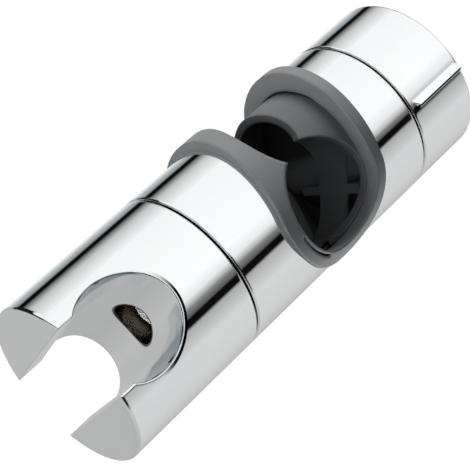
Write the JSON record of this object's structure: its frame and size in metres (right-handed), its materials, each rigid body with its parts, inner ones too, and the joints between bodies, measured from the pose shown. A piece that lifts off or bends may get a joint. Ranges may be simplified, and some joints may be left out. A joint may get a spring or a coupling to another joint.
{
  "type": "shower rail slider",
  "caption": "Chromed tubular slider that clamps on a shower rail with a twist knob and holds a hand shower in a tapered pocket.",
  "frame": {"origin": "centre of the rail's saddles, in the middle of their height", "axes": "+X from the handset holder to the knob, +Z along the rail, upward, +Y to the open mouth at the wall side"},
  "size_m": [0.115, 0.0419, 0.0428],
  "materials": {
    "chrome": "bright chrome plate on moulded plastic",
    "steel": "plain zinc-plated steel",
    "collar_grey": "satin grey moulded plastic",
    "jaw_grey": "satin dark grey moulded plastic",
    "core_grey": "satin charcoal moulded plastic",
    "acetal": "natural acetal"
  },
  "bodies": {
    "body": {"body_shell": "chrome", "body_core": "core_grey", "rail_collar": "collar_grey", "click_ring": "core_grey", "pivot_nut": "steel", "pivot_screw": "steel", "pivot_washer": "steel", "pivot_spring": "steel", "bearing_plate": "core_grey"},
    "holder": {"handset_holder": "chrome"},
    "jaw": {"clamp_jaw": "jaw_grey"},
    "knob": {"knob": "chrome", "drive_nut": "acetal", "retaining_clip": "steel", "thrust_washer": "acetal"}
  },
  "joints": [
    {"name": "holder_turn", "type": "hinge", "parent": "body", "child": "holder", "pos_m": [-0.0302, 0.0028, 0], "axis": [1, 0, 0], "continuous": true},
    {"name": "knob_turn", "type": "hinge", "parent": "body", "child": "knob", "pos_m": [0.029, 0.0028, 0], "axis": [1, 0, 0], "range_deg": [-315, 315]},
    {"name": "jaw_slide", "type": "slide", "parent": "body", "child": "jaw", "axis": [1, 0, 0], "range_m": [-0.007, 0.007]}
  ],
  "couplings": [
    {"joint": "jaw_slide", "follows": "knob_turn", "m_per_rad": 0.001273}
  ]
}
